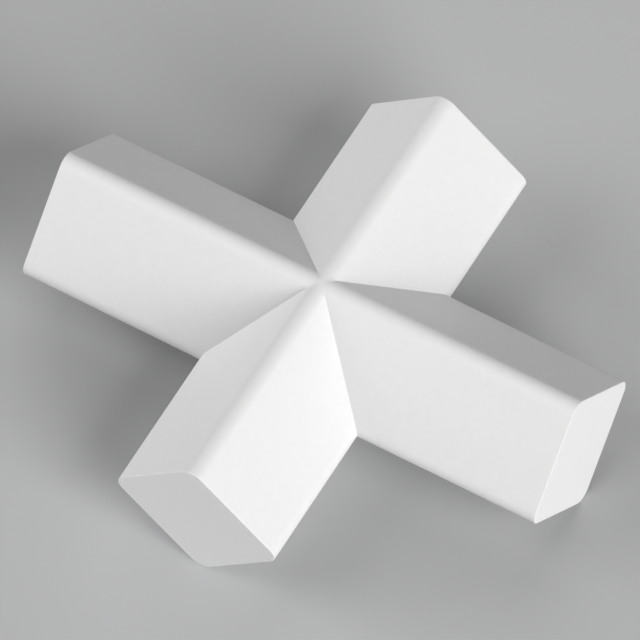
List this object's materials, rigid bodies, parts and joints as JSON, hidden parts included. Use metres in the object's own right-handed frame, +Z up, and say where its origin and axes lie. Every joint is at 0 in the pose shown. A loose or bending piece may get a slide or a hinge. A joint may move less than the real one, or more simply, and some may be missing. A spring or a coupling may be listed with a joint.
{
  "type": "magnetic stir bar",
  "caption": "Cross-shaped magnetic stir bar with square PTFE arms, rounded long edges and flat ends, moulded round a sealed rod magnet that a stirrer plate turns.",
  "frame": {"origin": "where the spin axis meets the vessel floor: straight below the crossing of the two bars, level with the lower ridges that it rests on", "axes": "+X along the longer bar towards its slightly shorter arm, +Y along the shorter bar towards its shorter arm, +Z up along the spin axis"},
  "size_m": [0.039, 0.0327, 0.0119],
  "materials": {
    "ptfe_white": "satin",
    "magnet_alloy": "satin"
  },
  "bodies": {
    "root": {"ptfe_jacket": "ptfe_white", "rod_magnet": "magnet_alloy"}
  },
  "joints": []
}
